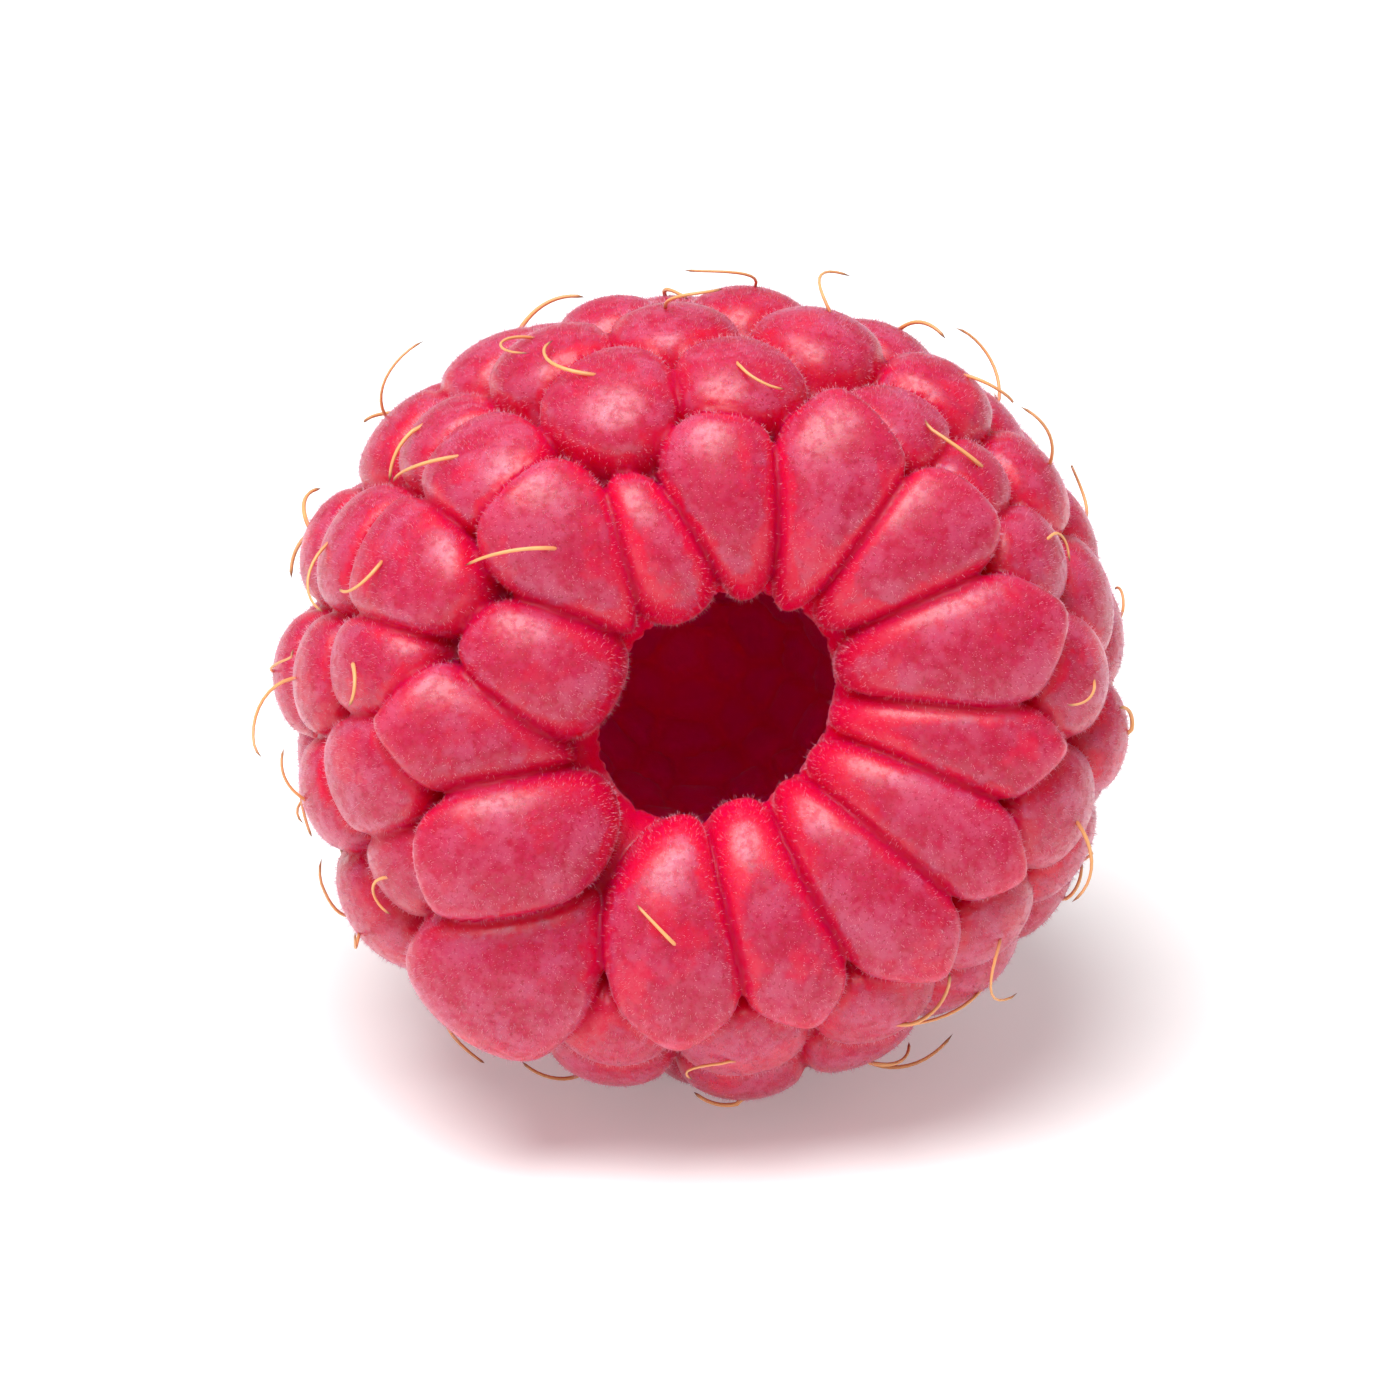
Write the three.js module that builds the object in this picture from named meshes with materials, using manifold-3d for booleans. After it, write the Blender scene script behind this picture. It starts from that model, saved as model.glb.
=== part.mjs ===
// A picked raspberry: about 130 drupelets grown together round the hollow that the receptacle leaves.
// It lies on its flank, as a picked one does, with the mouth of the hollow to the front and tipped up.
// Millimetres, +Z up, resting on z = 0, with the mouth facing -Y and the tip towards +Y.
import * as THREE from "three";
import { mergeVertices } from "three/addons/utils/BufferGeometryUtils.js";
import Module from "manifold-3d";

const wasm = await Module();
wasm.setup();

const { degToRad, smoothstep } = THREE.MathUtils;

// ---- Driving dimensions ----
// The fruit's own frame has its axis on Y: y = 0 at the foremost crowns of the rim, +Y to the tip.
const LENGTH = 22.2;
const BELLY_Y = 7.2; // where the fruit is widest
const BELLY_RADIUS = 11.2;
const RIM_RADIUS = 6.0; // of the circle on which the rim stands foremost
const MOUTH_Y = 2.6; // where the mouth of the hollow is narrowest
const MOUTH_RADIUS = 3.35;
const HOLLOW_Y = 6.0; // where the hollow is widest
const HOLLOW_RADIUS = 4.1;
const HOLLOW_END_Y = 17;

const DRUPELET_PITCH = 3.75; // from one drupelet to the next in its row
const ROW_PITCH = 3.3; // from one row to the next, along the skin
const SECOND_ROW_RUN = 4.5; // from the foremost crowns back to the second row
const DOME = 2.0; // from a drupelet's crown down to its centre
const HALF_WIDTH = 2.3; // from that centre to its flanks, before its neighbours press on it
const RIM_ROOT = 3.4; // from the centre of a rim drupelet back into the flesh
const RIM_PLUMPNESS = 0.8; // half width of a rim drupelet over its breadth, before it is pressed
const CREASE_DEPTH = 1.7; // from the crowns down to where the flanks have grown together
const PRESS = 7; // how squarely drupelets flatten against each other
const BITE = 1.04; // how far each reaches past the plane that it shares with a neighbour, as a factor

// The rim as it grew, clockwise from the top as seen from the front:
// [angle in degrees, breadth, radius of its inner end, radius of its outer end, how far it stands proud].
const RIM = [
  [1, 2.8, 3.15, 8.9, 0],
  [27, 3.4, 3.15, 9.9, 0.1],
  [49, 3.4, 3.5, 9.7, 0.1],
  [76, 3.6, 3.4, 9.8, 0.3],
  [99, 3.1, 3.3, 9.9, -0.25],
  [121, 3.1, 3.25, 9.8, 0.05],
  [142, 3.0, 3.15, 9.8, 0.1],
  [167, 3.0, 2.85, 9.6, 0],
  [191, 3.3, 3.05, 9.8, 0.2],
  [219, 4.5, 5.0, 11.2, -0.35],
  [239, 3.7, 3.5, 9.6, 0.5],
  [268, 3.3, 3.4, 9.9, -0.05],
  [289, 3.1, 3.15, 7.5, 0.25],
  [319, 3.2, 3.1, 9.4, 0.05],
  [338, 2.2, 3.1, 7.5, 0.1],
];

// The row behind the rim: [angle in degrees, size]. Large ones fill in where the rim falls short.
const SECOND_ROW = [
  [4, 0.95],
  [34, 0.95],
  [48, 0.8],
  [64, 1.05],
  [86, 1.0],
  [109, 1.0],
  [131, 1.0],
  [154, 1.0],
  [177, 1.0],
  [199, 0.9],
  [243, 0.95],
  [260, 1.1],
  [279, 0.95],
  [297, 1.2],
  [318, 1.0],
  [343, 1.15],
];

// How it lies.
const FLATTENING = 0.95; // height over width
const MOUTH_UP = degToRad(18);
const MOUTH_RIGHT = degToRad(4);
const SINK = 0.45; // depth of the flats on which it rests

// The skin's facets number 20 * (DETAIL + 1)^2.
const DETAIL = 20;
const HOLLOW_SHARE = 0.4; // how densely they cover the hollow, against 1 outside
const SLIDE = 0.02; // the most that a corner moves to lie in a crease, as an angle on the unit sphere
const CORE_DEPTH = 1.5; // the skin is looked for outwards from this far below the crowns
const HEADROOM = 1.3; // and up to this far above them
const PRESS_RANGE = 6; // centres further apart than this don't press on each other
const NEAR = 5.5; // a drupelet whose centre is further off than this doesn't reach a place

let seed = 7;
function random() {
  seed = (seed * 1664525 + 1013904223) % 4294967296;
  return seed / 4294967296;
}
const vary = (amount) => (random() * 2 - 1) * amount;

// A point or direction of the meridian plane, y along the axis and r away from it, turned to a clock
// angle: clockwise from the top, as seen looking into the mouth.
function around(y, r, clock) {
  return new THREE.Vector3(r * Math.sin(clock), y, r * Math.cos(clock));
}

// ---- The meridian ----
// The outline that is turned about the axis. It runs from the tip over the crowns to the belly (t = 1)
// and the rim (2), in at the mouth (3), along the hollow to its widest (4) and to its blind end (5).
const TIP = 0;
const FOREMOST = 2;
const MOUTH = 3;
const BLIND_END = 5;

function meridianPoint(t) {
  const stretch = Math.min(Math.floor(t), BLIND_END - 1);
  const part = t - stretch;
  const sin = Math.sin((part * Math.PI) / 2);
  const cos = Math.cos((part * Math.PI) / 2);
  const widening = smoothstep(part, 0, 1);
  return [
    [BELLY_Y + (LENGTH - BELLY_Y) * cos, BELLY_RADIUS * sin],
    [BELLY_Y * (1 - sin), RIM_RADIUS + (BELLY_RADIUS - RIM_RADIUS) * cos],
    [MOUTH_Y * (1 - cos), RIM_RADIUS - (RIM_RADIUS - MOUTH_RADIUS) * sin],
    [MOUTH_Y + (HOLLOW_Y - MOUTH_Y) * part, MOUTH_RADIUS + (HOLLOW_RADIUS - MOUTH_RADIUS) * widening],
    [HOLLOW_Y + (HOLLOW_END_Y - HOLLOW_Y) * sin, HOLLOW_RADIUS * cos],
  ][stretch];
}

// Points along the meridian, each with its outward normal, the length run from the tip and the share
// of the skin's facets that lies before it.
function sampleMeridian(count) {
  const samples = [];
  const nudge = 1e-4;
  let run = 0;
  let share = 0;
  for (let i = 0; i <= count; i++) {
    const t = (BLIND_END * i) / count;
    const [y, r] = meridianPoint(t);
    const [y0, r0] = meridianPoint(Math.max(TIP, t - nudge));
    const [y1, r1] = meridianPoint(Math.min(BLIND_END, t + nudge));
    const length = Math.hypot(y1 - y0, r1 - r0);
    if (i > 0) {
      const last = samples[i - 1];
      const step = Math.hypot(y - last.y, r - last.r);
      run += step;
      share += (step * (r + last.r) * (t > MOUTH ? HOLLOW_SHARE : 1)) / 2;
    }
    samples.push({ t, y, r, ny: (r1 - r0) / length, nr: (y0 - y1) / length, run, share });
  }
  for (const sample of samples) sample.share /= share;
  return samples;
}

const meridian = sampleMeridian(600);

// The meridian where its "t", "run" or "share" has the given value.
function meridianAt(field, value) {
  let low = 0;
  let high = meridian.length - 1;
  while (high - low > 1) {
    const middle = (low + high) >> 1;
    if (meridian[middle][field] > value) high = middle;
    else low = middle;
  }
  const before = meridian[low];
  const after = meridian[high];
  const part = (value - before[field]) / (after[field] - before[field]);
  const at = {};
  for (const key of Object.keys(before)) at[key] = before[key] + (after[key] - before[key]) * part;
  return at;
}

// ---- The drupelets ----
// How far in from a place on the meridian the hollow's wall is.
function depthToHollow({ y, r, ny, nr }) {
  const step = 0.1;
  let depth = 0;
  let inside = false;
  while (!inside) {
    depth += step;
    const along = Math.max(0, y - ny * depth - HOLLOW_Y) / (HOLLOW_END_Y - HOLLOW_Y);
    inside = Math.hypot(along, (r - nr * depth) / HOLLOW_RADIUS) < 1;
  }
  return depth;
}

// A drupelet is an egg sunk into the fruit, before its neighbours press on it. The egg's sizes from its
// centre are [half its width, half its length, its dome, its root].
function drupelet(at, clock, egg, sunk) {
  const height = 1 - 2 * at.share;
  return {
    home: around(height, Math.sqrt(1 - height * height), clock), // its crown on the unit sphere
    centre: around(at.y - at.ny * sunk, at.r - at.nr * sunk, clock),
    normal: around(at.ny, at.nr, clock),
    across: around(0, 1, clock + Math.PI / 2),
    along: around(-at.nr, at.ny, clock),
    egg,
  };
}

function rimDrupelets() {
  const { share } = meridianAt("t", FOREMOST);
  return RIM.map(([degrees, breadth, inner, outer, proud]) => {
    const at = { y: 0.15 + vary(0.1) - proud, r: (inner + outer) / 2, ny: -1, nr: 0, share };
    const egg = [breadth * RIM_PLUMPNESS, (outer - inner) / 2, DOME, RIM_ROOT];
    return drupelet(at, degToRad(degrees), egg, DOME);
  });
}

function rowDrupelet(run, clock, size) {
  const at = meridianAt("run", run);
  const sunk = DOME + vary(0.15);
  const width = HALF_WIDTH * size * (1 + vary(0.06));
  const length = width * (1 + vary(0.05));
  const dome = DOME * (1 + vary(0.06));
  return drupelet(at, clock, [width, length, dome, depthToHollow(at) - sunk], sunk);
}

// Rows behind the rim. Each starts half a drupelet on from the row before it.
function rowDrupelets() {
  const list = [];
  let run = meridianAt("t", FOREMOST).run - SECOND_ROW_RUN;
  for (const [degrees, size] of SECOND_ROW) list.push(rowDrupelet(run, degToRad(degrees), size));
  let start = 0.3;
  for (run -= ROW_PITCH; run > -ROW_PITCH / 2; run -= ROW_PITCH) {
    const girth = 2 * Math.PI * meridianAt("run", Math.max(run, 0)).r;
    const count = Math.max(1, Math.round(girth / DRUPELET_PITCH));
    const pitch = (2 * Math.PI) / count;
    for (let i = 0; i < count; i++) {
      const clock = start + (i + vary(0.12)) * pitch;
      const place = Math.max(run + vary(0.3), 0.01);
      list.push(rowDrupelet(place, clock, 1 + vary(0.08)));
    }
    start += pitch / 2;
  }
  return list;
}

// How far out in a drupelet's egg a point stands, given from its centre: 1 is the egg's skin.
function eggReach(drupelet, offset) {
  const [width, length, dome, root] = drupelet.egg;
  const up = offset.dot(drupelet.normal);
  const across = offset.dot(drupelet.across) / width;
  const along = offset.dot(drupelet.along) / length;
  return Math.hypot(across, along, up / (up > 0 ? dome : root));
}

// Neighbours hold each other back at a plane between their centres, nearer to the smaller one.
function findContacts(drupelets) {
  for (const one of drupelets) {
    one.contacts = [];
    for (const other of drupelets) {
      const way = other.centre.clone().sub(one.centre);
      const gap = way.length();
      if (other === one || gap > PRESS_RANGE) continue;
      way.divideScalar(gap);
      const mine = 1 / eggReach(one, way);
      const theirs = 1 / eggReach(other, way.clone().negate());
      one.contacts.push({ way, distance: (BITE * gap * mine) / (mine + theirs) });
    }
  }
}

// How far out in the pressed drupelet a point stands: 1 is its skin.
const offset = new THREE.Vector3();
function reach(drupelet, point) {
  offset.subVectors(point, drupelet.centre);
  let sum = eggReach(drupelet, offset) ** PRESS;
  for (const { way, distance } of drupelet.contacts) {
    sum += Math.max(0, offset.dot(way) / distance) ** PRESS;
  }
  return sum ** (1 / PRESS);
}

// ---- The skin ----
// A direction on the unit sphere as a place in the fruit: north is the tip, south the hollow's end.
// The core lies under the skin, and the skin never sinks below the flesh: that is level with the wall
// of the hollow, and deep in the creases outside.
function placeOf(direction) {
  const at = meridianAt("share", (1 - direction.y) / 2);
  const clock = Math.atan2(direction.x, direction.z);
  const normal = around(at.ny, at.nr, clock);
  const core = around(at.y, at.r, clock).addScaledVector(normal, -CORE_DEPTH);
  const outside = 1 - smoothstep(at.t, FOREMOST + 0.2, MOUTH + 0.2);
  return { normal, core, flesh: CORE_DEPTH - CREASE_DEPTH * outside };
}

const above = ({ normal, core }, height) => core.clone().addScaledVector(normal, height);

function skinHeight(place, near) {
  let low = place.flesh;
  let high = CORE_DEPTH + HEADROOM;
  for (let step = 0; step < 12; step++) {
    const middle = (low + high) / 2;
    const point = above(place, middle);
    if (near.some((drupelet) => reach(drupelet, point) < 1)) low = middle;
    else high = middle;
  }
  return low;
}

// A direction that is close to the crease between two drupelets moves into it, so that the crease is
// an edge of the skin.
function slideIntoCrease(direction, height, near) {
  const point = above(placeOf(direction), height);
  const nearest = near.map((drupelet) => ({ drupelet, far: reach(drupelet, point) }));
  nearest.sort((a, b) => a.far - b.far);
  if (nearest.length < 2) return direction;
  const first = nearest[0].drupelet;
  const second = nearest[1].drupelet;
  const way = second.home.clone().sub(first.home);
  way.addScaledVector(direction, -way.dot(direction)).normalize();
  const moved = (angle) => direction.clone().addScaledVector(way, angle).normalize();
  const beforeCrease = (angle) => {
    const there = above(placeOf(moved(angle)), height);
    return reach(second, there) > reach(first, there);
  };
  if (beforeCrease(SLIDE)) return direction;
  let low = 0;
  let high = SLIDE;
  for (let step = 0; step < 8; step++) {
    const middle = (low + high) / 2;
    if (beforeCrease(middle)) low = middle;
    else high = middle;
  }
  return moved(high);
}

function skinPoint(direction, drupelets) {
  const place = placeOf(direction);
  const near = drupelets.filter((drupelet) => drupelet.centre.distanceTo(place.core) < NEAR);
  const height = skinHeight(place, near);
  if (height < place.flesh + 0.01) return above(place, height);
  const slid = placeOf(slideIntoCrease(direction, height, near));
  return above(slid, skinHeight(slid, near));
}

function growSkin() {
  const drupelets = [...rimDrupelets(), ...rowDrupelets()];
  findContacts(drupelets);
  const skin = weld(new THREE.IcosahedronGeometry(1, DETAIL));
  const position = skin.getAttribute("position");
  const direction = new THREE.Vector3();
  for (let i = 0; i < position.count; i++) {
    direction.fromBufferAttribute(position, i).normalize();
    position.setXYZ(i, ...skinPoint(direction, drupelets));
  }
  return skin;
}

// ---- Solids ----
function weld(geometry) {
  geometry.deleteAttribute("normal");
  geometry.deleteAttribute("uv");
  return mergeVertices(geometry, 1e-5);
}

function toSolid(geometry) {
  const vertProperties = new Float32Array(geometry.getAttribute("position").array);
  const triVerts = new Uint32Array(geometry.index.array);
  return new wasm.Manifold(new wasm.Mesh({ numProp: 3, vertProperties, triVerts }));
}

function toGeometry(solid) {
  const { vertProperties, triVerts } = solid.getMesh();
  const geometry = new THREE.BufferGeometry();
  geometry.setAttribute("position", new THREE.BufferAttribute(vertProperties, 3));
  geometry.setIndex(new THREE.BufferAttribute(triVerts, 1));
  geometry.computeVertexNormals();
  return geometry;
}

// The fruit is turned to lie on its flank, centred over the origin, and flattened where it rests.
function layDown(skin) {
  skin.rotateX(-MOUTH_UP);
  skin.rotateZ(MOUTH_RIGHT);
  skin.scale(1, 1, FLATTENING);
  skin.computeBoundingBox();
  const { min, max } = skin.boundingBox;
  skin.translate(-(min.x + max.x) / 2, -(min.y + max.y) / 2, -min.z - SINK);
  const ground = new THREE.BoxGeometry(LENGTH, LENGTH, 2 * SINK);
  ground.translate(0, 0, -SINK);
  return toSolid(skin).subtract(toSolid(weld(ground)));
}

function makeFruit() {
  const flesh = new THREE.MeshStandardMaterial({ color: 0xb3243f, roughness: 0.55, metalness: 0 });
  const fruit = new THREE.Mesh(toGeometry(layDown(growSkin())), flesh);
  fruit.name = "raspberry_fruit";
  return fruit;
}

const raspberry = new THREE.Group();
raspberry.add(makeFruit());

export default raspberry;
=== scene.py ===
"""A picked raspberry on a pale floor: its drupelets in full detail, its dried styles and its bloom."""
from math import atan, cos, floor, hypot, pi, radians, sin, sqrt
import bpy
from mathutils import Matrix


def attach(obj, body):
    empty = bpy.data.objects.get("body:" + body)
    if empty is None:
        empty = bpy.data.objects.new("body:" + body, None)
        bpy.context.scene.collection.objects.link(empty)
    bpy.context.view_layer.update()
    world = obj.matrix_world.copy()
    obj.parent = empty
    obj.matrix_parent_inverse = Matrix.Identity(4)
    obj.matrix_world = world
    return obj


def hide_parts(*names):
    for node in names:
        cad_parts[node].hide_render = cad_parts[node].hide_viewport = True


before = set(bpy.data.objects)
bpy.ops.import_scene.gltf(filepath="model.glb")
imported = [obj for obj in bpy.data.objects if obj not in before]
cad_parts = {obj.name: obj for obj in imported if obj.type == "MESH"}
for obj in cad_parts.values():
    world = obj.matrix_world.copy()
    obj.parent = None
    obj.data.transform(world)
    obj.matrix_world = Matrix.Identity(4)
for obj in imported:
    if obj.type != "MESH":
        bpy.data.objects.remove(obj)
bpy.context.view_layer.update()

from types import SimpleNamespace

import bmesh
import bpy
import numpy as np
from mathutils import Vector
from mathutils.bvhtree import BVHTree

MM = 0.001  # Blender works in metres; the sizes below are in millimetres

# ---- The fruit's sizes, in its own frame: axis on y, y = 0 at the foremost crowns, +y to the tip ----
LENGTH = 22.2
BELLY_Y = 7.2
BELLY_RADIUS = 11.2
RIM_RADIUS = 6.0
MOUTH_Y = 2.6
MOUTH_RADIUS = 3.35
HOLLOW_Y = 6.0
HOLLOW_RADIUS = 4.1
HOLLOW_END_Y = 17.0

DRUPELET_PITCH = 3.75
ROW_PITCH = 3.3
SECOND_ROW_RUN = 4.5
DOME = 2.0
HALF_WIDTH = 2.3
RIM_ROOT = 3.4
RIM_PLUMPNESS = 0.8
RIM_SET_BACK = 0.15  # of a rim drupelet's crown
CREASE_DEPTH = 1.7
PRESS = 7  # how hard neighbours flatten each other: higher is flatter
BITE = 1.04  # how far they press into each other
MELD = 30  # how tightly the skin follows where drupelets meet: higher is sharper
FIRST_CLOCK = 0.3  # radians; where the first row of the rule starts

# How far drupelets differ, as a share or in mm.
RIM_VARIES = 0.1
SUNK_VARIES = 0.15
WIDTH_VARIES = 0.06
LENGTH_VARIES = 0.05
DOME_VARIES = 0.06
PLACE_VARIES = 0.12
ROW_VARIES = 0.3
SIZE_VARIES = 0.08

# The rim: angle in degrees, breadth, radius of inner end, radius of outer end, how far it stands proud.
RIM = [
    [1, 2.8, 3.15, 8.9, 0],
    [27, 3.4, 3.15, 9.9, 0.1],
    [49, 3.4, 3.5, 9.7, 0.1],
    [76, 3.6, 3.4, 9.8, 0.3],
    [99, 3.1, 3.3, 9.9, -0.25],
    [121, 3.1, 3.25, 9.8, 0.05],
    [142, 3.0, 3.15, 9.8, 0.1],
    [167, 3.0, 2.85, 9.6, 0],
    [191, 3.3, 3.05, 9.8, 0.2],
    [219, 4.5, 5.0, 11.2, -0.35],
    [239, 3.7, 3.5, 9.6, 0.5],
    [268, 3.3, 3.4, 9.9, -0.05],
    [289, 3.1, 3.15, 7.5, 0.25],
    [319, 3.2, 3.1, 9.4, 0.05],
    [338, 2.2, 3.1, 7.5, 0.1],
]

# The row behind the rim: angle in degrees, size.
SECOND_ROW = [
    [4, 0.95],
    [34, 0.95],
    [48, 0.8],
    [64, 1.05],
    [86, 1.0],
    [109, 1.0],
    [131, 1.0],
    [154, 1.0],
    [177, 1.0],
    [199, 0.9],
    [243, 0.95],
    [260, 1.1],
    [279, 0.95],
    [297, 1.2],
    [318, 1.0],
    [343, 1.15],
]

# The mouth is an oval: narrower along one clock angle, which fades out over the rim and down the hollow.
MOUTH_SQUASH = 0.2
SQUASH_CLOCK = radians(132)
SQUASH_FADES_OUT = (3, 5)  # from this radius, over this span
SQUASH_FADES_DOWN = (4, 6)  # from this depth, over this span

# How it lies.
FLATTENING = 0.95
MOUTH_UP = radians(18)
MOUTH_RIGHT = radians(4)
SINK = 0.45

# The skin.
SPHERE_SUBDIVISIONS = 5
CUTS = 5
HOLLOW_SHARE = 0.4  # of the mesh's usual fineness, in the hollow
SLIDE_EDGES = 0.45  # the furthest slide into a crease, in lengths of an edge
CORE_DEPTH = 1.5
HEADROOM = 1.3
HEIGHT_ROUNDS = 12
SLIDE_ROUNDS = 7
CREASE_WIDTH = 0.04
CREASE_SOFTNESS = 0.5
CREASE_ROUNDS = 3
HOLLOW_GROOVE = 0.28  # between the inner ends of the drupelets, where they line the hollow
HOLLOW_GROOVE_WIDTH = 0.12
CREST_WIDTH = 0.6
PRESS_RANGE = 6  # drupelets further apart don't touch
NEAR = 5.5  # drupelets further from a place don't shape it

# The view.
VIEW_ELEVATION = radians(23)
VIEW_DISTANCE = 0.5
FRAME_WIDTH = 37 * MM
AIM = Vector((0, 0, 9.2)) * MM
LIGHT_PLACE = Vector((-0.06, -0.11, 0.34))
LIGHT_SIZE = 0.30
LIGHT_POWER = 1.9
WORLD_STRENGTH = 0.36
FLOOR_HALF_WIDTH = 0.8
FLOOR_GLOW = 0.26


class Draws:
    """Seeded random numbers, the same on every run."""

    def __init__(self, seed):
        self.seed = seed

    def one(self):
        self.seed = (self.seed * 1664525 + 1013904223) % 4294967296
        return self.seed / 4294967296

    def vary(self, amount):
        return (self.one() * 2 - 1) * amount


def around(y, r, clock):
    """A point or direction of the meridian plane turned to a clock angle, clockwise seen from the front."""
    return np.stack(np.broadcast_arrays(r * np.sin(clock), y, r * np.cos(clock)), axis=-1)


def unit(vectors):
    return vectors / np.maximum(np.linalg.norm(vectors, axis=-1, keepdims=True), 1e-12)


def ease(value):
    value = np.clip(value, 0, 1)
    return value * value * (3 - 2 * value)


def fade_in(value, start, span):
    return ease((value - start) / span)


# ---- The meridian: tip, belly (1), rim (2), mouth (3), the hollow's widest (4) and its blind end (5) ----
FOREMOST = 2
MOUTH = 3
BLIND_END = 5


def meridian_point(t):
    stretch = np.minimum(np.floor(t), BLIND_END - 1).astype(int)
    part = t - stretch
    up, over = np.sin(part * pi / 2), np.cos(part * pi / 2)
    y = [
        BELLY_Y + (LENGTH - BELLY_Y) * over,
        BELLY_Y * (1 - up),
        MOUTH_Y * (1 - over),
        MOUTH_Y + (HOLLOW_Y - MOUTH_Y) * part,
        HOLLOW_Y + (HOLLOW_END_Y - HOLLOW_Y) * up,
    ]
    r = [
        BELLY_RADIUS * up,
        RIM_RADIUS + (BELLY_RADIUS - RIM_RADIUS) * over,
        RIM_RADIUS - (RIM_RADIUS - MOUTH_RADIUS) * up,
        MOUTH_RADIUS + (HOLLOW_RADIUS - MOUTH_RADIUS) * ease(part),
        HOLLOW_RADIUS * over,
    ]
    return np.choose(stretch, y), np.choose(stretch, r)


def sample_meridian(count):
    t = BLIND_END * np.arange(count + 1) / count
    nudge = 1e-4
    y, r = meridian_point(t)
    y0, r0 = meridian_point(np.maximum(0, t - nudge))
    y1, r1 = meridian_point(np.minimum(BLIND_END, t + nudge))
    length = np.hypot(y1 - y0, r1 - r0)
    step = np.hypot(np.diff(y), np.diff(r))
    weight = step * (r[1:] + r[:-1]) / 2 * np.where(t[1:] > MOUTH, HOLLOW_SHARE, 1)
    run = np.concatenate([[0], np.cumsum(step)])
    share = np.concatenate([[0], np.cumsum(weight)])
    share /= share[-1]
    return dict(t=t, y=y, r=r, ny=(r1 - r0) / length, nr=(y0 - y1) / length, run=run, share=share)


MERIDIAN = sample_meridian(600)


def meridian_at(field, value):
    found = {key: np.interp(value, MERIDIAN[field], MERIDIAN[key]) for key in MERIDIAN}
    return SimpleNamespace(**found)


# ---- The drupelets ----
def depth_to_hollow(at):
    step = 0.1
    depth = 0
    inside = False
    while not inside:
        depth += step
        along = max(0, at.y - at.ny * depth - HOLLOW_Y) / (HOLLOW_END_Y - HOLLOW_Y)
        inside = hypot(along, (at.r - at.nr * depth) / HOLLOW_RADIUS) < 1
    return depth


def drupelet(at, clock, egg, sunk):
    height = 1 - 2 * at.share
    return SimpleNamespace(
        home=around(height, sqrt(max(0, 1 - height * height)), clock),
        centre=around(at.y - at.ny * sunk, at.r - at.nr * sunk, clock),
        normal=around(at.ny, at.nr, clock),
        across=around(0, 1, clock + pi / 2),
        along=around(-at.nr, at.ny, clock),
        egg=egg,
    )


def rim_drupelets(draws):
    share = meridian_at("t", FOREMOST).share
    grown = []
    for degrees, breadth, inner, outer, proud in RIM:
        y = RIM_SET_BACK + draws.vary(RIM_VARIES) - proud
        at = SimpleNamespace(y=y, r=(inner + outer) / 2, ny=-1.0, nr=0.0, share=share)
        egg = [breadth * RIM_PLUMPNESS, (outer - inner) / 2, DOME, RIM_ROOT]
        grown.append(drupelet(at, radians(degrees), egg, DOME))
    return grown


def row_drupelet(run, clock, size, draws):
    at = meridian_at("run", run)
    sunk = DOME + draws.vary(SUNK_VARIES)
    width = HALF_WIDTH * size * (1 + draws.vary(WIDTH_VARIES))
    length = width * (1 + draws.vary(LENGTH_VARIES))
    dome = DOME * (1 + draws.vary(DOME_VARIES))
    return drupelet(at, clock, [width, length, dome, depth_to_hollow(at) - sunk], sunk)


def row_drupelets(draws):
    grown = []
    run = meridian_at("t", FOREMOST).run - SECOND_ROW_RUN
    for degrees, size in SECOND_ROW:
        grown.append(row_drupelet(run, radians(degrees), size, draws))
    start = FIRST_CLOCK
    run -= ROW_PITCH
    while run > -ROW_PITCH / 2:
        girth = 2 * pi * meridian_at("run", max(run, 0)).r
        count = max(1, floor(girth / DRUPELET_PITCH + 0.5))
        pitch = 2 * pi / count
        for i in range(count):
            clock = start + (i + draws.vary(PLACE_VARIES)) * pitch
            place = max(run + draws.vary(ROW_VARIES), 0.01)
            grown.append(row_drupelet(place, clock, 1 + draws.vary(SIZE_VARIES), draws))
        start += pitch / 2
        run -= ROW_PITCH
    return grown


def egg_reach(one, offset):
    width, length, dome, root = one.egg
    up = offset @ one.normal
    across = offset @ one.across / width
    along = offset @ one.along / length
    return np.sqrt(across ** 2 + along ** 2 + (up / np.where(up > 0, dome, root)) ** 2)


def find_contacts(drupelets):
    """Neighbours hold each other back at a plane between their centres, nearer to the smaller one."""
    for one in drupelets:
        planes = []
        for other in drupelets:
            gap = np.linalg.norm(other.centre - one.centre)
            if other is one or gap > PRESS_RANGE:
                continue
            way = (other.centre - one.centre) / gap
            mine = 1 / egg_reach(one, way)
            theirs = 1 / egg_reach(other, -way)
            planes.append(way * (mine + theirs) / (BITE * gap * mine))
        one.contacts = np.array(planes).T


def reach(one, points):
    """How far out in the pressed drupelet points stand: 1 is its skin."""
    offset = points - one.centre
    pressed = np.maximum(0, offset @ one.contacts) ** PRESS
    return (egg_reach(one, offset) ** PRESS + pressed.sum(axis=1)) ** (1 / PRESS)


# ---- The skin ----
def place_of(directions):
    at = meridian_at("share", (1 - directions[:, 1]) / 2)
    clock = np.arctan2(directions[:, 0], directions[:, 2])
    normal = around(at.ny, at.nr, clock)
    core = around(at.y, at.r, clock) - normal * CORE_DEPTH
    outside = 1 - ease((at.t - FOREMOST - 0.2) / (MOUTH - FOREMOST))
    return SimpleNamespace(normal=normal, core=core, flesh=CORE_DEPTH - CREASE_DEPTH * outside, t=at.t)


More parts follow.
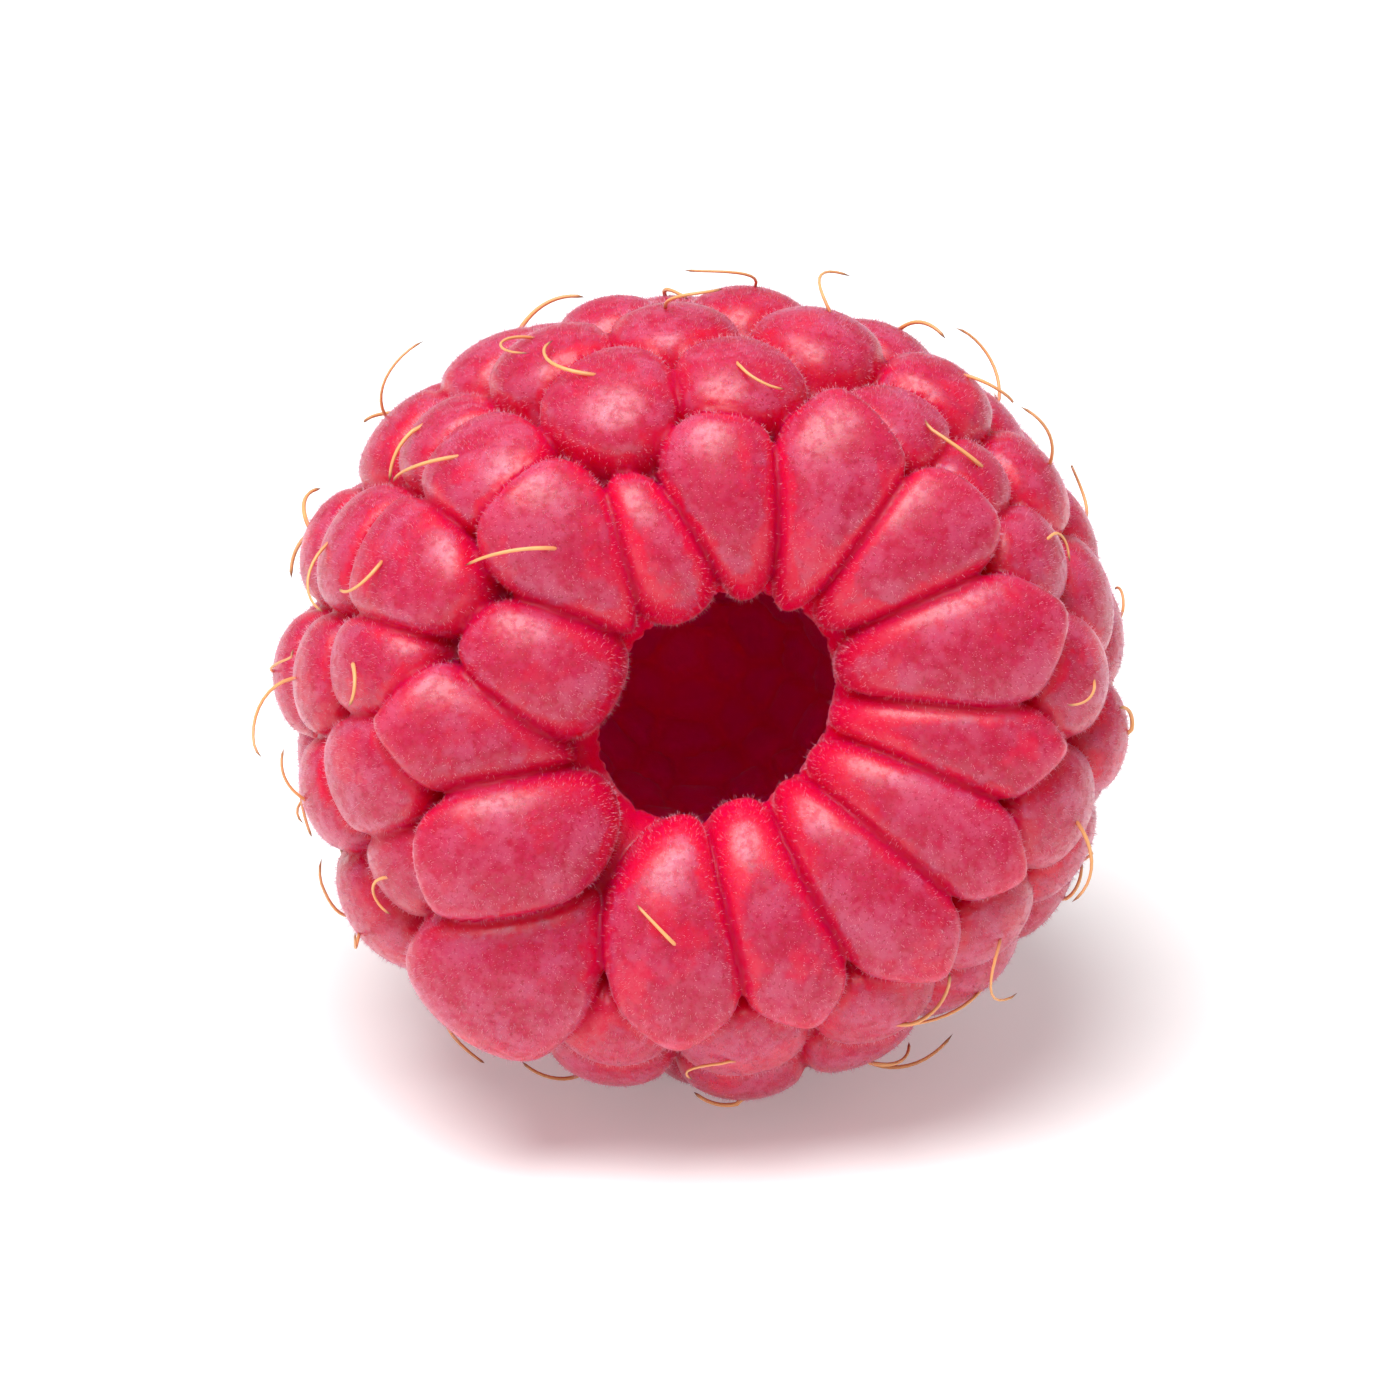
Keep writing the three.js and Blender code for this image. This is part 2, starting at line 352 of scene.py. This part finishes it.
class Flesh:
    """The drupelets with, for a set of places, which of them are near."""

    def __init__(self, drupelets, places):
        self.drupelets = drupelets
        self.near = []
        for one in drupelets:
            away = ((places.core - one.centre) ** 2).sum(axis=1)
            self.near.append(np.nonzero(away < NEAR ** 2)[0])

    def fullness(self, points):
        """Over 1 inside the melded drupelets, under 1 outside."""
        total = np.zeros(len(points))
        for one, near in zip(self.drupelets, self.near):
            total[near] += reach(one, points[near]) ** -MELD
        return total

    def two_nearest(self, points):
        far = np.full((2, len(points)), 99.0)
        which = np.zeros((2, len(points)), int)
        for k, (one, near) in enumerate(zip(self.drupelets, self.near)):
            distance = reach(one, points[near])
            first = distance < far[0, near]
            second = ~first & (distance < far[1, near])
            hit = near[first]
            far[1, hit], which[1, hit] = far[0, hit], which[0, hit]
            far[0, hit], which[0, hit] = distance[first], k
            hit = near[second]
            far[1, hit], which[1, hit] = distance[second], k
        return far, which

    def heights(self, places):
        low = places.flesh.copy()
        high = np.full(len(low), CORE_DEPTH + HEADROOM)
        for _ in range(HEIGHT_ROUNDS):
            middle = (low + high) / 2
            inside = self.fullness(places.core + places.normal * middle[:, None]) > 1
            low, high = np.where(inside, middle, low), np.where(inside, high, middle)
        return low


def slide_into_creases(directions, heights, which, drupelets, most):
    """Directions close to the crease between two drupelets move into it, so that creases stay clean."""
    homes = np.array([one.home for one in drupelets])
    way = homes[which[1]] - homes[which[0]]
    way = unit(way - directions * (way * directions).sum(axis=1, keepdims=True))
    members = [[np.nonzero(row == k)[0] for k in range(len(drupelets))] for row in which]

    def moved(angle):
        return unit(directions + way * angle[:, None])

    def lead(angle):
        there = place_of(moved(angle))
        points = there.core + there.normal * heights[:, None]
        ahead = np.zeros(len(points))
        for sign, rows in ((-1, members[0]), (1, members[1])):
            for one, rows_of_one in zip(drupelets, rows):
                ahead[rows_of_one] += sign * reach(one, points[rows_of_one])
        return ahead

    low = np.zeros(len(directions))
    high = np.full(len(directions), most)
    slides = (lead(high) <= 0) & (heights > place_of(directions).flesh + 0.01)
    for _ in range(SLIDE_ROUNDS):
        middle = (low + high) / 2
        before = lead(middle) > 0
        low, high = np.where(before, middle, low), np.where(before, high, middle)
    return np.where(slides[:, None], moved(high), directions)


def sphere_mesh(name, cuts):
    """A unit sphere of even triangles: 5120 * (cuts + 1)^2 of them."""
    work = bmesh.new()
    bmesh.ops.create_icosphere(work, subdivisions=SPHERE_SUBDIVISIONS, radius=1)
    bmesh.ops.subdivide_edges(work, edges=work.edges[:], cuts=cuts, use_grid_fill=True)
    mesh = bpy.data.meshes.new(name)
    work.to_mesh(mesh)
    work.free()
    return mesh


def vertices_of(mesh):
    flat = np.empty(len(mesh.vertices) * 3)
    mesh.vertices.foreach_get("co", flat)
    return flat.reshape(-1, 3)


def soften(points, mesh, weight, rounds):
    """Move points towards the middle of their neighbours, by a weight for each point."""
    ends = np.empty(len(mesh.edges) * 2, int)
    mesh.edges.foreach_get("vertices", ends)
    ends = ends.reshape(-1, 2)
    count = np.bincount(ends.ravel(), minlength=len(points))[:, None]
    for _ in range(rounds):
        total = np.zeros_like(points)
        np.add.at(total, ends[:, 0], points[ends[:, 1]])
        np.add.at(total, ends[:, 1], points[ends[:, 0]])
        points = points + (total / count - points) * weight[:, None]
    return points


def squash_mouth(points):
    """Narrow the mouth one way."""
    way = around(0, 1, SQUASH_CLOCK)
    out = np.hypot(points[:, 0], points[:, 2])
    amount = MOUTH_SQUASH * (1 - fade_in(out, *SQUASH_FADES_OUT))
    amount *= 1 - fade_in(points[:, 1], *SQUASH_FADES_DOWN)
    return points - way * (amount * (points @ way))[:, None]


def lay_down(points):
    """Turn points of the fruit's own frame to how it lies."""
    x, y, z = points.T
    y, z = y * cos(MOUTH_UP) + z * sin(MOUTH_UP), z * cos(MOUTH_UP) - y * sin(MOUTH_UP)
    x, y = x * cos(MOUTH_RIGHT) - y * sin(MOUTH_RIGHT), x * sin(MOUTH_RIGHT) + y * cos(MOUTH_RIGHT)
    return np.stack([x, y, z * FLATTENING], axis=1)


def add_values(mesh, name, values):
    mesh.attributes.new(name, "FLOAT", "POINT").data.foreach_set("value", values.astype(np.float32))


def make_fruit(drupelets, material):
    mesh = sphere_mesh("raspberry", CUTS)
    directions = unit(vertices_of(mesh))
    edge = sqrt(16 * pi / len(mesh.polygons) / sqrt(3))
    places = place_of(directions)
    flesh = Flesh(drupelets, places)
    heights = flesh.heights(places)
    far, which = flesh.two_nearest(places.core + places.normal * heights[:, None])
    directions = slide_into_creases(directions, heights, which, drupelets, SLIDE_EDGES * edge)
    places = place_of(directions)
    heights = flesh.heights(places)
    points = places.core + places.normal * heights[:, None]
    far, which = flesh.two_nearest(points)
    crest = far[1] - far[0]
    lined = fade_in(places.t, MOUTH + 0.1, 0.4)
    groove = HOLLOW_GROOVE * lined * np.exp(-(crest / HOLLOW_GROOVE_WIDTH) ** 2)
    points -= places.normal * groove[:, None]
    softness = CREASE_SOFTNESS * np.exp(-(crest / CREASE_WIDTH) ** 2)
    points = soften(points, mesh, softness, CREASE_ROUNDS)

    laid = lay_down(squash_mouth(points))
    low, high = laid.min(axis=0), laid.max(axis=0)
    shift = -np.array([(low[0] + high[0]) / 2, (low[1] + high[1]) / 2, low[2] + SINK])
    laid += shift
    laid[:, 2] = np.maximum(laid[:, 2], 0)
    mesh.vertices.foreach_set("co", (laid * MM).ravel())
    mesh.polygons.foreach_set("use_smooth", np.ones(len(mesh.polygons), bool))
    draws = Draws(31)
    tints = np.array([draws.one() for _ in drupelets])
    add_values(mesh, "crest", np.clip(crest / CREST_WIDTH, 0, 1))
    add_values(mesh, "tint", tints[which[0]])
    add_values(mesh, "throat", fade_in(places.t, FOREMOST - 0.1, 0.9))
    add_values(mesh, "hollow", fade_in(places.t, MOUTH - 0.35, 0.5))
    add_values(mesh, "deep", fade_in(places.t, MOUTH + 0.7, 0.8))
    mesh.update()
    mesh.materials.append(material)
    fruit = bpy.data.objects.new("raspberry", mesh)
    bpy.context.collection.objects.link(fruit)
    return fruit, shift


# ---- The dried styles ----
STYLE_STEPS = 12
STYLE_SIDES = 6
STYLE_RADIUS = 0.056
STYLE_ROOT = 0.12
STYLE_LIFT = 0.10  # how far a style's middle stays above the skin
STYLE_SHORTEST = 1.5
STYLE_LENGTH_VARIES = 1.8
STYLE_RISE = 0.2
STYLE_RISE_VARIES = 0.9
STYLE_CURL = 0.28
STYLE_DROOP = 0.10
STYLE_PULL = 0.05  # back to the skin, for each mm above it
STYLE_TAPER = 0.35
STYLES_ON_RIM = 0.12  # the share of drupelets that keep theirs
STYLES_ELSEWHERE = 0.72
KNOBBED = 0.4
KNOB = 1.5
BARE_TIP = 0.7
LOWEST_STYLE = 0.6


def perpendicular(vector):
    side = Vector((0, 0, 1)) if abs(vector.z) < 0.8 else Vector((1, 0, 0))
    return vector.cross(side).normalized()


def style_path(skin, start, draws):
    """A thread that leaves the skin, bends over and follows it. Points in metres."""
    foot, normal, _, _ = skin.find_nearest(start)
    side = perpendicular(normal)
    turn = draws.one() * 2 * pi
    rise = STYLE_RISE + STYLE_RISE_VARIES * draws.one()
    heading = (side * cos(turn) + normal.cross(side) * sin(turn) + normal * rise).normalized()
    step = (STYLE_SHORTEST + STYLE_LENGTH_VARIES * draws.one()) * MM / STYLE_STEPS
    curl = draws.vary(STYLE_CURL)
    path = [foot - normal * STYLE_ROOT * MM]
    for _ in range(STYLE_STEPS):
        point = path[-1] + heading * step
        below, normal, _, _ = skin.find_nearest(point)
        height = (point - below).dot(normal)
        bend = -normal * (STYLE_DROOP + STYLE_PULL * height / MM)
        heading = (heading + bend + normal.cross(heading) * curl).normalized()
        if len(path) > 2 and height < STYLE_LIFT * MM:
            point = below + normal * STYLE_LIFT * MM
            heading = (heading - normal * min(0, heading.dot(normal))).normalized()
        point.z = max(point.z, STYLE_LIFT * MM)
        path.append(point)
    return path


def tube(path, radii, sides):
    """Rings round a path, closed by a point at each end: corners and triangles."""
    corners, triangles = [path[0]], []
    side = perpendicular(path[1] - path[0])
    for i in range(1, len(path) - 1):
        ahead = (path[i + 1] - path[i - 1]).normalized()
        side = (side - ahead * side.dot(ahead)).normalized()
        other = ahead.cross(side)
        for k in range(sides):
            turn = 2 * pi * k / sides
            corners.append(path[i] + (side * cos(turn) + other * sin(turn)) * radii[i])
    corners.append(path[-1])
    last = len(corners) - 1
    rings = len(path) - 2
    for k in range(sides):
        after = (k + 1) % sides
        triangles.append((0, 1 + after, 1 + k))
        for ring in range(rings - 1):
            a, b = 1 + ring * sides + k, 1 + ring * sides + after
            triangles.append((a, b, b + sides))
            triangles.append((a, b + sides, a + sides))
        triangles.append((last, last - sides + k, last - sides + after))
    return corners, triangles


def make_styles(drupelets, fruit, shift, material):
    skin = BVHTree.FromObject(fruit, bpy.context.evaluated_depsgraph_get())
    draws = Draws(5)
    corners, triangles, along = [], [], []
    for one in drupelets:
        crown = one.centre + one.normal * one.egg[2]
        start = Vector((lay_down(crown[None]) + shift)[0]) * MM
        faces_front = one.normal[1] < -0.99
        kept = draws.one() < (STYLES_ON_RIM if faces_front else STYLES_ELSEWHERE)
        if not kept or start.z < LOWEST_STYLE * MM:
            continue
        path = style_path(skin, start, draws)
        radius = STYLE_RADIUS * (0.8 + 0.4 * draws.one()) * MM
        end = KNOB if draws.one() < KNOBBED else BARE_TIP
        radii = [radius * (1 - STYLE_TAPER * i / STYLE_STEPS) for i in range(STYLE_STEPS)]
        more, faces = tube(path, radii + [radius * end] * 2, STYLE_SIDES)
        first = len(corners)
        corners += more
        triangles += [tuple(first + index for index in face) for face in faces]
        rings = [i / STYLE_STEPS for i in range(1, STYLE_STEPS) for _ in range(STYLE_SIDES)]
        along += [0] + rings + [1]
    mesh = bpy.data.meshes.new("styles")
    mesh.from_pydata([tuple(corner) for corner in corners], [], triangles)
    mesh.polygons.foreach_set("use_smooth", np.ones(len(mesh.polygons), bool))
    add_values(mesh, "along", np.array(along))
    mesh.materials.append(material)
    styles = bpy.data.objects.new("styles", mesh)
    bpy.context.collection.objects.link(styles)
    return styles


# ---- The bloom ----
BLOOM_HAIRS = 48000
BLOOM_HAIR_RADIUS = 0.006
BLOOM_HAIR_SHORTEST = 0.06
BLOOM_HAIR_LENGTH_VARIES = 0.12
BLOOM_HAIR_ROOT = 0.01
BLOOM_LEAN = 0.22
BLOOM_LOWEST = 0.3
CREST_BARE = 0.05  # the bloom fades in from here, up the drupelets
CREST_FADE = 0.4


def make_bloom(name, seed, fruit, material):
    """Very short pale hairs on the crowns, each a closed three-sided spike."""
    source = fruit.data
    source.calc_loop_triangles()
    triangles = np.empty(len(source.loop_triangles) * 3, int)
    source.loop_triangles.foreach_get("vertices", triangles)
    triangles = triangles.reshape(-1, 3)
    places = vertices_of(source)
    crest, hollow = (np.empty(len(places), np.float32) for _ in range(2))
    source.attributes["crest"].data.foreach_get("value", crest)
    source.attributes["hollow"].data.foreach_get("value", hollow)
    a, b, c = (places[triangles[:, k]] for k in range(3))
    cross = np.cross(b - a, c - a)
    weight = np.linalg.norm(cross, axis=1) * fade_in(crest[triangles].mean(axis=1), CREST_BARE, CREST_FADE)
    weight *= (1 - hollow[triangles].mean(axis=1)) * (a[:, 2] > BLOOM_LOWEST * MM)
    rng = np.random.default_rng(seed)
    count = BLOOM_HAIRS
    chosen = rng.choice(len(triangles), count, p=weight / weight.sum())
    u, v = rng.random((2, count, 1))
    u, v = np.where(u + v > 1, 1 - u, u), np.where(u + v > 1, 1 - v, v)
    normal = unit(cross)[chosen]
    foot = a[chosen] + (b - a)[chosen] * u + (c - a)[chosen] * v - normal * BLOOM_HAIR_ROOT * MM
    lean = unit(normal + rng.normal(0, BLOOM_LEAN, (count, 3)))
    length = (BLOOM_HAIR_SHORTEST + BLOOM_HAIR_LENGTH_VARIES * rng.random((count, 1)) ** 1.5) * MM
    side = unit(np.cross(lean, rng.normal(0, 1, (count, 3))))
    other = np.cross(lean, side)
    spokes = [side * cos(2 * pi * k / 3) + other * sin(2 * pi * k / 3) for k in range(3)]
    ring = [foot + spoke * BLOOM_HAIR_RADIUS * MM for spoke in spokes]
    corners = np.stack(ring + [foot + lean * length], axis=1)
    corners[:, :, 2] = np.maximum(corners[:, :, 2], BLOOM_HAIR_ROOT * MM)
    spike = np.array([(0, 2, 1), (0, 1, 3), (1, 2, 3), (2, 0, 3)])
    faces = (4 * np.arange(count)[:, None, None] + spike).reshape(-1)
    mesh = bpy.data.meshes.new(name)
    mesh.vertices.add(4 * count)
    mesh.vertices.foreach_set("co", corners.ravel())
    mesh.loops.add(len(faces))
    mesh.loops.foreach_set("vertex_index", faces)
    mesh.polygons.add(len(faces) // 3)
    mesh.polygons.foreach_set("loop_start", np.arange(0, len(faces), 3))
    mesh.update(calc_edges=True)
    add_values(mesh, "paleness", np.repeat(rng.random(count), 4))
    mesh.materials.append(material)
    bloom = bpy.data.objects.new(name, mesh)
    bpy.context.collection.objects.link(bloom)
    return bloom


# ---- Materials ----
CREASE_COLOUR = (0.56, 0.000, 0.036, 1)
JUICE_COLOURS = (0.64, 0.000, 0.046, 1), (0.54, 0.000, 0.040, 1)
DUSTY_COLOURS = (0.44, 0.002, 0.044, 1), (0.49, 0.010, 0.072, 1)
PALE_COLOUR = (0.51, 0.045, 0.125, 1)
SPECK_COLOUR = (0.38, 0.002, 0.036, 1)
# The hollow's colours are partly the flesh's own red and partly painted light: they are raised, and bluer
# where deep, to stand in for light glowing through the flesh into the shaded hollow.
MOUTH_AND_GLOW_COLOUR = (0.90, 0.000, 0.060, 1)
LINING_AND_GLOW_COLOURS = (0.95, 0.001, 0.30, 1), (0.99, 0.003, 0.42, 1)
FLESH_SHADER = {
    "Subsurface Weight": 1.0,
    "Subsurface Radius": (1.0, 0.07, 0.06),
    "Subsurface Scale": 2.8 * MM,
    "Sheen Weight": 0.8,
    "Sheen Roughness": 0.12,
    "Sheen Tint": (0.95, 0.58, 0.80, 1),
    "Specular IOR Level": 0.15,
    "Coat Roughness": 0.35,
}
STYLE_COLOURS = {
    0.0: (0.62, 0.16, 0.07, 1),
    0.25: (0.84, 0.40, 0.15, 1),
    0.85: (0.74, 0.36, 0.15, 1),
    1.0: (0.16, 0.06, 0.03, 1),
}
STYLE_SHADER = {
    "Roughness": 0.45,
    "Subsurface Weight": 0.3,
    "Subsurface Radius": (1.0, 0.5, 0.25),
    "Subsurface Scale": 0.1 * MM,
}
BLOOM_COLOURS = (0.78, 0.29, 0.41, 1), (0.88, 0.47, 0.59, 1)
BLOOM_SHADER = {"Roughness": 0.5}
FLOOR_SHADER = {
    "Base Color": (0.84, 0.83, 0.83, 1),
    "Roughness": 0.6,
    "Emission Color": (1, 1, 1, 1),
    "Emission Strength": FLOOR_GLOW,
}


def new_material(name, values):
    material = bpy.data.materials.new(name)
    material.use_nodes = True
    nodes, links = material.node_tree.nodes, material.node_tree.links
    shader = nodes["Principled BSDF"]
    for socket, value in values.items():
        shader.inputs[socket].default_value = value
    return material, nodes, links, shader


def flesh_material():
    material, nodes, links, shader = new_material("raspberry flesh", FLESH_SHADER)

    def noise(scale, detail, roughness):
        made = nodes.new("ShaderNodeTexNoise")
        for key, value in (("Scale", scale), ("Detail", detail), ("Roughness", roughness)):
            made.inputs[key].default_value = value
        links.new(in_mm.outputs[0], made.inputs["Vector"])
        return made.outputs["Fac"]

    def attribute(name):
        made = nodes.new("ShaderNodeAttribute")
        made.attribute_name = name
        return made.outputs["Fac"]

    def math(operation, *values):
        made = nodes.new("ShaderNodeMath")
        made.operation = operation
        for socket, value in zip(made.inputs, values):
            if isinstance(value, (int, float)):
                socket.default_value = value
            else:
                links.new(value, socket)
        return made.outputs[0]

    def mask(value, low, high, to_low=0.0, to_high=1.0):
        made = nodes.new("ShaderNodeMapRange")
        made.interpolation_type = "SMOOTHSTEP"
        for key, bound in zip(("From Min", "From Max", "To Min", "To Max"), (low, high, to_low, to_high)):
            made.inputs[key].default_value = bound
        links.new(value, made.inputs["Value"])
        return made.outputs[0]

    def blend(factor, first, second):
        made = nodes.new("ShaderNodeMix")
        made.data_type = "RGBA"
        links.new(factor, made.inputs[0])
        for socket, value in zip((made.inputs[6], made.inputs[7]), (first, second)):
            if isinstance(value, tuple):
                socket.default_value = value
            else:
                links.new(value, socket)
        return made.outputs[2]

    coordinates = nodes.new("ShaderNodeTexCoord")
    in_mm = nodes.new("ShaderNodeVectorMath")
    in_mm.operation = "SCALE"
    in_mm.inputs["Scale"].default_value = 1 / MM
    links.new(coordinates.outputs["Object"], in_mm.inputs[0])

    crest, tint, throat = attribute("crest"), attribute("tint"), attribute("throat")
    hollow, deep = attribute("hollow"), attribute("deep")
    cloud = noise(0.9, 3.0, 0.6)
    patch = noise(0.55, 4.0, 0.65)
    mottle = noise(4.0, 5.0, 0.7)
    speck = noise(11.0, 3.0, 0.6)

    # The bloom covers the crowns, breaks up towards the creases and the throat, and stops at the hollow.
    ragged = math("MULTIPLY_ADD", mottle, 0.5, math("MULTIPLY_ADD", cloud, 1.4, crest))
    ragged = math("MULTIPLY_ADD", throat, -0.75, ragged)
    worn = mask(patch, 0.54, 0.66, 1.0, 0.3)
    outside = math("SUBTRACT", 1.0, hollow)
    bloomed = math("MULTIPLY", math("MULTIPLY", mask(ragged, 1.20, 1.56), worn), outside)

    juice = blend(tint, *JUICE_COLOURS)
    dusty = blend(mask(mottle, 0.40, 0.60), *DUSTY_COLOURS)
    pale = blend(mask(cloud, 0.44, 0.64), dusty, PALE_COLOUR)
    dotted = blend(mask(speck, 0.58, 0.66), pale, SPECK_COLOUR)
    crown = mask(crest, 0.02, 0.35)
    skin = blend(crown, CREASE_COLOUR, blend(bloomed, juice, dotted))

    # The lining is paler over the inner ends of the drupelets than between them. Its brightness is partly
    # painted light, standing in for light glowing through the flesh into the shaded hollow.
    inner = blend(mask(crest, 0.05, 0.55), *LINING_AND_GLOW_COLOURS)
    lining = blend(deep, MOUTH_AND_GLOW_COLOUR, inner)
    links.new(blend(hollow, skin, lining), shader.inputs["Base Color"])
    dulled = math("MULTIPLY_ADD", bloomed, 0.06, 0.28)
    links.new(math("MULTIPLY_ADD", mask(mottle, 0.35, 0.65), 0.10, dulled), shader.inputs["Roughness"])

    # The shine is patchy, where the bloom is rubbed, and leaves the creases and the lining dull.
    shine = mask(noise(3.6, 4.0, 0.75), 0.38, 0.58, 0.4, 1.0)
    links.new(math("MULTIPLY", math("MULTIPLY", shine, crown), outside), shader.inputs["Coat Weight"])
    bump = nodes.new("ShaderNodeBump")
    bump.inputs["Strength"].default_value = 0.9
    bump.inputs["Distance"].default_value = 0.04 * MM
    links.new(noise(6.0, 4.0, 0.75), bump.inputs["Height"])
    links.new(bump.outputs["Normal"], shader.inputs["Normal"])
    return material


def style_material():
    """Golden, redder at the foot and dark at the tip."""
    material, nodes, links, shader = new_material("dried style", STYLE_SHADER)
    along = nodes.new("ShaderNodeAttribute")
    along.attribute_name = "along"
    colour = nodes.new("ShaderNodeValToRGB")
    stops = colour.color_ramp.elements
    for place, value in STYLE_COLOURS.items():
        stop = {0.0: stops[0], 1.0: stops[-1]}.get(place) or stops.new(place)
        stop.color = value
    links.new(along.outputs["Fac"], colour.inputs["Fac"])
    links.new(colour.outputs["Color"], shader.inputs["Base Color"])
    return material


def bloom_material():
    """Each hair has its own paleness."""
    material, nodes, links, shader = new_material("bloom", BLOOM_SHADER)
    paleness = nodes.new("ShaderNodeAttribute")
    paleness.attribute_name = "paleness"
    colour = nodes.new("ShaderNodeMix")
    colour.data_type = "RGBA"
    colour.inputs[6].default_value, colour.inputs[7].default_value = BLOOM_COLOURS
    links.new(paleness.outputs["Fac"], colour.inputs[0])
    links.new(colour.outputs[2], shader.inputs["Base Color"])
    return material


def floor_material():
    return new_material("pale floor", FLOOR_SHADER)[0]


# ---- The stage ----
def make_floor():
    half = FLOOR_HALF_WIDTH
    corners = [(-half, -half, 0), (half, -half, 0), (half, half, 0), (-half, half, 0)]
    mesh = bpy.data.meshes.new("floor")
    mesh.from_pydata(corners, [], [(0, 1, 2, 3)])
    mesh.materials.append(floor_material())
    floor_object = bpy.data.objects.new("floor", mesh)
    bpy.context.collection.objects.link(floor_object)


def aim(thing, place, target):
    thing.location = place
    thing.rotation_euler = (target - place).to_track_quat("-Z", "Y").to_euler()


def make_camera():
    data = bpy.data.cameras.new("camera")
    data.angle = 2 * atan(FRAME_WIDTH / 2 / VIEW_DISTANCE)
    data.clip_start = 0.01
    camera = bpy.data.objects.new("camera", data)
    bpy.context.collection.objects.link(camera)
    back = Vector((0, -cos(VIEW_ELEVATION), sin(VIEW_ELEVATION)))
    aim(camera, AIM + back * VIEW_DISTANCE, AIM)
    bpy.context.scene.camera = camera
    bpy.context.scene.view_settings.view_transform = "Standard"


def make_light():
    world = bpy.data.worlds.new("studio")
    world.use_nodes = True
    world.node_tree.nodes["Background"].inputs["Color"].default_value = (1, 1, 1, 1)
    world.node_tree.nodes["Background"].inputs["Strength"].default_value = WORLD_STRENGTH
    bpy.context.scene.world = world
    data = bpy.data.lights.new("top light", "AREA")
    data.shape = "DISK"
    data.size = LIGHT_SIZE
    data.energy = LIGHT_POWER
    light = bpy.data.objects.new("top light", data)
    bpy.context.collection.objects.link(light)
    aim(light, LIGHT_PLACE, AIM)


make_camera()
make_light()
make_floor()

draws = Draws(7)
drupelets = rim_drupelets(draws) + row_drupelets(draws)
find_contacts(drupelets)
fruit, shift = make_fruit(drupelets, flesh_material())
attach(fruit, "root")
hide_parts("raspberry_fruit")

styles = make_styles(drupelets, fruit, shift, style_material())
down = bloom_material()
first_bloom = make_bloom("first_bloom", 11, fruit, down)
second_bloom = make_bloom("second_bloom", 12, fruit, down)
for piece in (styles, first_bloom, second_bloom):
    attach(piece, "root")
